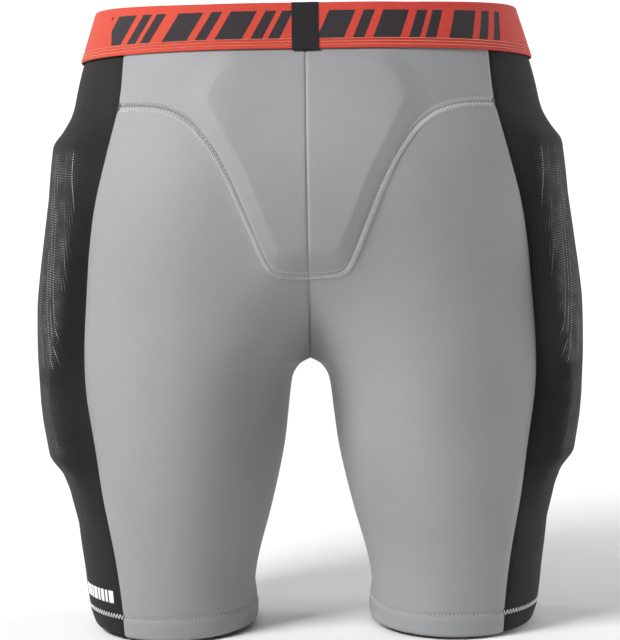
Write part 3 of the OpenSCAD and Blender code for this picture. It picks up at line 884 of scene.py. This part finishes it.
def band_stitches():
    """Rows of fine straight stitches near the waistband's lower edge."""
    routes = []
    count = 2600
    beside_tab = (tab_w / 2 + 0.4) * MM
    for height in (band_low + 2.6, band_low + 4.8, band_low + 7.0):
        ring = evened(loops([height], [band_gap + band_t - 0.12]), count)[0]
        lifted = evened(loops([height], [band_gap + band_t + 0.16]), count)[0]
        for k in range(0, count, 4):
            if ring[k, 1] < 0 and abs(ring[k, 0]) < beside_tab:
                continue
            route = np.stack([ring[k], lifted[k + 1], lifted[k + 2], ring[(k + 3) % count]])
            normal = lifted[k + 1] - ring[k + 1]
            routes.append((route, normal / np.linalg.norm(normal)))
    piece = tubes("waistband_stitch_rows", routes, 0.00024, orange_thread, 4)
    return finish_piece(piece, "waistband_stitching")


def join_tab():
    """Black tape folded over the waistband's join: up the outside, over the top and down the inside."""
    tape = 0.9
    out = band_gap + band_t
    route = [(h, out + 0.35) for h in np.linspace(band_low - 1, total_h - 1, 34)]
    route += [(total_h - 1 + 1.3 * math.sin(t), out / 2 + 0.45 + (out / 2 - 0.1) * math.cos(t))
              for t in np.linspace(0.2, math.pi - 0.2, 9)]
    route += [(h, band_gap - 0.55) for h in np.linspace(total_h - 2, band_low - 1, 20)]
    heights, outs = np.array(route).T
    half_way = np.array([0.02, 0.05, 0.12, 0.5, 0.8, 0.93, 0.985, 1])
    across = np.concatenate([-half_way[::-1], [0], half_way])
    xs = across * tab_w / 2
    hh, xx = np.meshgrid(heights, xs, indexing="ij")
    base = back_points(np.minimum(hh, total_h), xx, outs[:, None] * np.ones_like(xx))
    base[..., 2] = (hh - total_h) * MM
    base[..., 2] += top_wave(base)
    normal = grid_normals(base, True)
    edge = np.clip((1 - np.abs(across)) / 0.06, 0, 1)
    puff = (0.35 + 0.65 * np.sqrt(1 - (1 - edge) ** 2)) * tape - 0.42 * np.exp(-(across / 0.03) ** 2)
    face = base + normal * puff[None, :, None] * MM
    piece = shell("waistband_join_tape", face, base, black_tape, flip=False)
    return finish_piece(piece, "waistband_join_tab")


def care_label():
    """A blank folded satin label sewn in under the waistband, inside the back."""
    width, drop = 30, 42
    rows, cols = 40, 24
    v, u = np.meshgrid(np.linspace(0, 1, rows), np.linspace(-1, 1, cols), indexing="ij")
    h = band_low + 6 - v * drop
    curl = 1.6 * v**2 * (1 - 0.4 * u**2) + 0.5 * np.sin(v * 7) * v
    base = back_points(h, u * width / 2, np.full_like(h, -8.0))
    base[..., 1] += curl * MM
    behind = base + np.array([0, 0.4 * MM, 0])
    piece = shell("care_label_tape", base, behind, white_tape)
    return finish_piece(piece, "care_label")


band = waistband()
band_stitches()
tab = join_tab()
label = care_label()

# ---------------------------------------------------------------- seams


def surface_normal(h, a, out=0.0):
    e = 0.4
    across = skin(h, a + e, out) - skin(h, a - e, out)
    up = skin(h + e, a, out) - skin(h - e, a, out)
    n = np.cross(across, up)
    return n / np.linalg.norm(n, axis=-1, keepdims=True)


def seam_frame(h, a, out=0.0):
    """Points, normals and sideways directions along a seam, evenly spaced."""
    p = skin(h, a, out)
    n = surface_normal(h, a)
    along = np.gradient(p, axis=0)
    along /= np.linalg.norm(along, axis=-1, keepdims=True)
    side = np.cross(n, along)
    side /= np.linalg.norm(side, axis=-1, keepdims=True)
    return p, n, side


def resampled(h, a, step):
    """Heights and angles moved so that the seam's points are step mm apart."""
    p = skin(h, a)
    length = np.concatenate([[0], np.cumsum(np.linalg.norm(np.diff(p, axis=0), axis=1))]) / MM
    want = np.arange(0, length[-1], step)
    return np.interp(want, length, h), np.interp(want, length, a)


def ribbon(name, p, n, side, width, profile, material, hand):
    """A raised band along a seam. profile lists shares of the width and heights in mm."""
    shares, rises = np.array(profile, float).T
    grid = p[:, None] + side[:, None] * (shares[None, :, None] * width / 2 * MM)
    face = grid + n[:, None] * rises[None, :, None] * MM
    base = grid - n[:, None] * 0.35 * MM
    return shell(name, half(face, hand), half(base, hand), material, flip=hand == "left")


def flatlock(hand, side):
    """The wide flat seam: a bed painted dark for the shade between its stitches, a lane of cross bars over
    the upper panel, a narrower lane of bright slanted stitches over the leg panel, and a chain between them
    and along each edge."""
    s = np.linspace(0.0, 1, 400)
    h = seam_height(side, s)
    a = panel_angle(h, mix(0.0015, 0.998, s), side)
    h, a = resampled(h, a, 0.75)
    rise = tail_bump(h, skin(h, a)[:, 0] / MM) if side < 0 else 0 * h
    p, n, across = seam_frame(h, a, rise)
    up = across * -side
    bed = [(-1, -0.35), (-0.95, 0.1), (-0.8, 0.28), (-0.4, 0.28), (0, 0.25), (0.4, 0.28), (0.8, 0.28),
           (0.95, 0.1), (1, -0.35)]
    node = ("yoke_seam_" if side < 0 else "front_seam_") + hand
    base = ribbon(node + "_bed", p, n, across, 7.0, bed, flatlock_gap_shade, hand)
    finish_piece(base, node, hand)
    lift = np.array([0.15, 0.68, 0.78, 0.68, 0.15])
    lanes = {"bars": [], "bright": []}

    def stitch(kind, at, offsets, lifts):
        route = p[at] + up[at] * (np.array(offsets) * MM)[:, None] + n[at] * (np.array(lifts) * MM)[:, None]
        lanes[kind].append((half(route, hand), half(n[at[0]], hand)))

    for k in range(0, len(p) - 4, 2):
        stitch("bars", [k] * 5, [-0.5, -0.1, 1.4, 2.9, 3.3], lift)
        stitch("bright", [k, k, k + 1, k + 2, k + 2], [-3.3, -3.0, -2.1, -1.2, -0.9], lift + 0.08)
    for row, kind in ((-3.35, "bright"), (-0.7, "bright"), (3.35, "bars")):
        for k in range(0, len(p) - 4, 4):
            stitch(kind, [k, k + 1, k + 2, k + 3], [row] * 4, [0.25, 0.72, 0.72, 0.25])
    bars = tubes(node + "_bars", lanes["bars"], 0.00032, bar_thread, 4)
    finish_piece(bars, None, hand)
    bright = tubes(node + "_stitches", lanes["bright"], 0.00032, bright_thread, 4)
    return finish_piece(bright, None, hand)


def plain_seam(node, h, a, material, hand, width=1.5, rise=0.35, out=0.0):
    """A narrow ridge in the groove between two panels, with its stitches."""
    h, a = resampled(h, a, 0.9)
    p, n, across = seam_frame(h, a, out)
    profile = [(-1, -0.7), (-0.75, -0.1), (-0.3, rise), (0.3, rise), (0.75, -0.1), (1, -0.7)]
    twist = 1 + 0.12 * np.sin(np.arange(len(p)) * 2.1)
    piece = ribbon(node + "_ridge", p - n * 0.5 * MM, n, across * twist[:, None], width, profile,
                   material, hand)
    return finish_piece(piece, node, hand)


def side_seams(hand):
    h = np.linspace(1, band_low, 300)
    for side, name in ((-1, "rear_side_seam_"), (1, "front_side_seam_")):
        plain_seam(name + hand, h, side * side_angle(h), black_thread, hand)


def inner_seam(hand):
    h = np.linspace(1, crotch_h - 3, 200)
    plain_seam("inseam_" + hand, h, np.full_like(h, 179.6), grey_thread, hand)


def centre_seam(side):
    """The seam up the centre: both panels' edges turned in, and a thin ridge between them, painted dark for
    the shade in the groove.
    """
    h = np.linspace(crotch_h + 4, band_low - 1, 260)
    bump = tail_bump(h, 0 * h) if side < 0 else 0 * h
    y = side * (depth(h, side) * np.sin(np.radians(centre_angle(h))) + bump - 0.8) * MM
    p = np.stack([0 * h, y, (h - total_h) * MM], -1)
    along = np.gradient(p, axis=0)
    along /= np.linalg.norm(along, axis=-1, keepdims=True)
    across = np.tile([1.0, 0, 0], (len(p), 1))
    n = np.cross(along, across)
    n *= np.sign(n[:, 1:2]) * side
    profile = [(-1, -0.6), (-0.7, -0.1), (-0.25, 0.2), (0.25, 0.2), (0.7, -0.1), (1, -0.6)]
    shares, rises = np.array(profile).T
    grid = p[:, None] + across[:, None] * (shares[None, :, None] * 0.6 * MM)
    face = grid + n[:, None] * rises[None, :, None] * MM
    base = grid - n[:, None] * 0.9 * MM
    node = "centre_back_seam" if side < 0 else "centre_front_seam"
    piece = shell(node + "_ridge", face, base, seam_groove_shade, flip=side > 0)
    return finish_piece(piece, node)


def hem_stitches(hand):
    """A zig-zag round the hem: pale on the black side, grey on the grey panels."""
    count = 2 * int(410 / 2.9)
    turn = np.arange(count + 1) / count * 360 - 180
    zig = hem_fold + np.where(np.arange(count + 1) % 2 == 0, -1.8, 1.8)
    p = skin(zig, turn, -0.05)
    n = surface_normal(zig, turn)
    routes = {"grey": [], "pale": []}
    for k in range(count):
        middle = (turn[k] + turn[k + 1]) / 2
        kind = "pale" if abs(middle) < side_angle(np.array(hem_fold)) else "grey"
        a, b = p[k], p[k + 1]
        lift = n[k] * 0.5 * MM
        route = np.stack([a, mix(a, b, 0.15) + lift, mix(a, b, 0.85) + lift, b])
        routes[kind].append((half(route, hand), half(n[k], hand)))
    grey = tubes("hem_zigzag_" + hand, routes["grey"], 0.00034, pale_thread, 5)
    finish_piece(grey, "hem_stitching_" + hand, hand)
    pale = tubes("hem_zigzag_side_" + hand, routes["pale"], 0.0003, white_thread, 5)
    return finish_piece(pale, None, hand)


for hand in SIDES:
    flatlock(hand, -1)
    flatlock(hand, 1)
    side_seams(hand)
    inner_seam(hand)
    hem_stitches(hand)
centre_seam(-1)
centre_seam(1)

# ---------------------------------------------------------------- hems


def gripper_tape(hand):
    h = np.linspace(1, 13, 16)
    a = np.linspace(-180, 180, 181)[:-1]
    hh, aa = np.meshgrid(h, a, indexing="ij")
    edge = np.minimum(hh - 1, 13 - hh)
    thin = 0.3 * (1 - ease(edge / 0.8))
    piece = shell("gripper_tape_" + hand + "_elastic", half(skin(hh, aa, -2.1 - thin), hand),
                  half(skin(hh, aa, -3.1 + thin), hand), black_tape, flip=hand == "left", wrap=True)
    return finish_piece(piece, "gripper_tape_" + hand, hand)


def silicone_strip(hand):
    """A wave of silicone beads that grips the leg."""
    count = 360
    a = np.arange(count + 1) / count * 360 - 180
    h = 6.5 + 1.7 * np.sin(np.radians(a) * 24)
    p = skin(h, a, -3.55)
    n = surface_normal(h, a)
    piece = tubes("silicone_wave_" + hand, [(half(p, hand), half(n[0], hand))], 0.00065, silicone, 8)
    return finish_piece(piece, "silicone_strip_" + hand, hand)


def leg_mark():
    """A plain printed row of upright blocks, low on the left side panel."""
    blocks = [(-52, 4), (-46.5, 2), (-43, 3), (-38.5, 2), (-35, 4), (-29.5, 2), (-26, 3), (-21.5, 4)]
    points, faces = [], []
    for k, (start, width) in enumerate(blocks):
        h, a = np.meshgrid(np.linspace(23, 32, 9), np.linspace(start, start + width, 7), indexing="ij")
        at = 126 * k
        points.append(np.concatenate([skin(h, a, 0.28).reshape(-1, 3), skin(h, a, -0.2).reshape(-1, 3)]))
        faces += [grid_faces(9, 7, at, True), grid_faces(9, 7, at + 63, False)]
        across, up = np.arange(7), np.arange(9) * 7
        for ring, turned in ((across, True), (across + 56, False), (up, False), (up + 6, True)):
            edge = np.stack([ring[:-1], ring[1:], ring[1:] + 63, ring[:-1] + 63], -1) + at
            faces.append(edge if turned else edge[:, ::-1])
    points = np.concatenate(points)
    piece = mesh_object("leg_mark_print", mirrored(points), np.concatenate(faces), white_ink)
    return finish_piece(piece, "leg_mark_left", "left")


tapes = [gripper_tape(hand) for hand in SIDES]
for hand in SIDES:
    silicone_strip(hand)
leg_mark()

# ---------------------------------------------------------------- floor, light and camera

floor_z = -total_h * MM - 0.006
bend = np.radians(np.linspace(0, 90, 25))
sweep = ([(-4.0, floor_z), (0.9, floor_z)]
         + [(1.3 + 0.9 * math.sin(t), floor_z + 0.9 - 0.9 * math.cos(t)) for t in bend] + [(2.2, 3.2)])
wall = np.array([[(x, y, z) for x in (-4, 4)] for y, z in sweep])
floor = mesh_object("floor", wall.reshape(-1, 3), grid_faces(len(sweep), 2), None)
pale = Nodes("pale_floor", 0.9)
pale.base(pale.colour(pale.noise(pale.place(), 3, 2), rgb(0.92, 0.92, 0.92), rgb(0.95, 0.95, 0.95)))
floor.data.materials.append(pale.material)


def area_light(name, place, target, power, size):
    data = bpy.data.lights.new(name, "AREA")
    data.energy, data.size = power, size
    light = bpy.data.objects.new(name, data)
    light.location = place
    direction = np.array(target) - np.array(place)
    light.rotation_euler = aim(direction)
    bpy.context.scene.collection.objects.link(light)


def aim(direction):
    return Vector(direction).to_track_quat("-Z", "Y").to_euler()


middle = (0, 0, -0.23)
area_light("key", (-1.32, -1.11, 0.97), middle, 51, 0.8)
area_light("soft", (0, -1.63, 1.4), middle, 6, 1.4)
area_light("fill", (2.06, 0.18, 0.14), middle, 21, 1.0)
for hand in SIDES:
    area_light("wall_" + hand, (SIDES[hand] * 1.3, 0.75, 0.5), (SIDES[hand] * 0.35, 2.0, -0.1), 13, 0.8)

world = bpy.data.worlds.new("studio")
bpy.context.scene.world = world
world.use_nodes = True
world.node_tree.nodes["Background"].inputs["Color"].default_value = (0.96, 0.97, 1.0, 1)
world.node_tree.nodes["Background"].inputs["Strength"].default_value = 0.03

camera_data = bpy.data.cameras.new("camera")
camera = bpy.data.objects.new("camera", camera_data)
bpy.context.scene.collection.objects.link(camera)
distance, elevation, azimuth = 1.3, math.radians(3.2), math.radians(-0.3)
target = np.array([0, 0, -0.2325])
ahead = np.array([math.sin(azimuth) * math.cos(elevation), math.cos(azimuth) * math.cos(elevation),
                  -math.sin(elevation)])
camera.location = target - ahead * distance
camera.rotation_euler = aim(ahead)
camera.rotation_euler.rotate_axis("Z", math.radians(-0.8))
camera_data.sensor_width = 36
camera_data.sensor_fit = "HORIZONTAL"
camera_data.lens = 98.36
camera_data.clip_start = 0.01
bpy.context.scene.camera = camera
bpy.context.scene.view_settings.view_transform = "Standard"
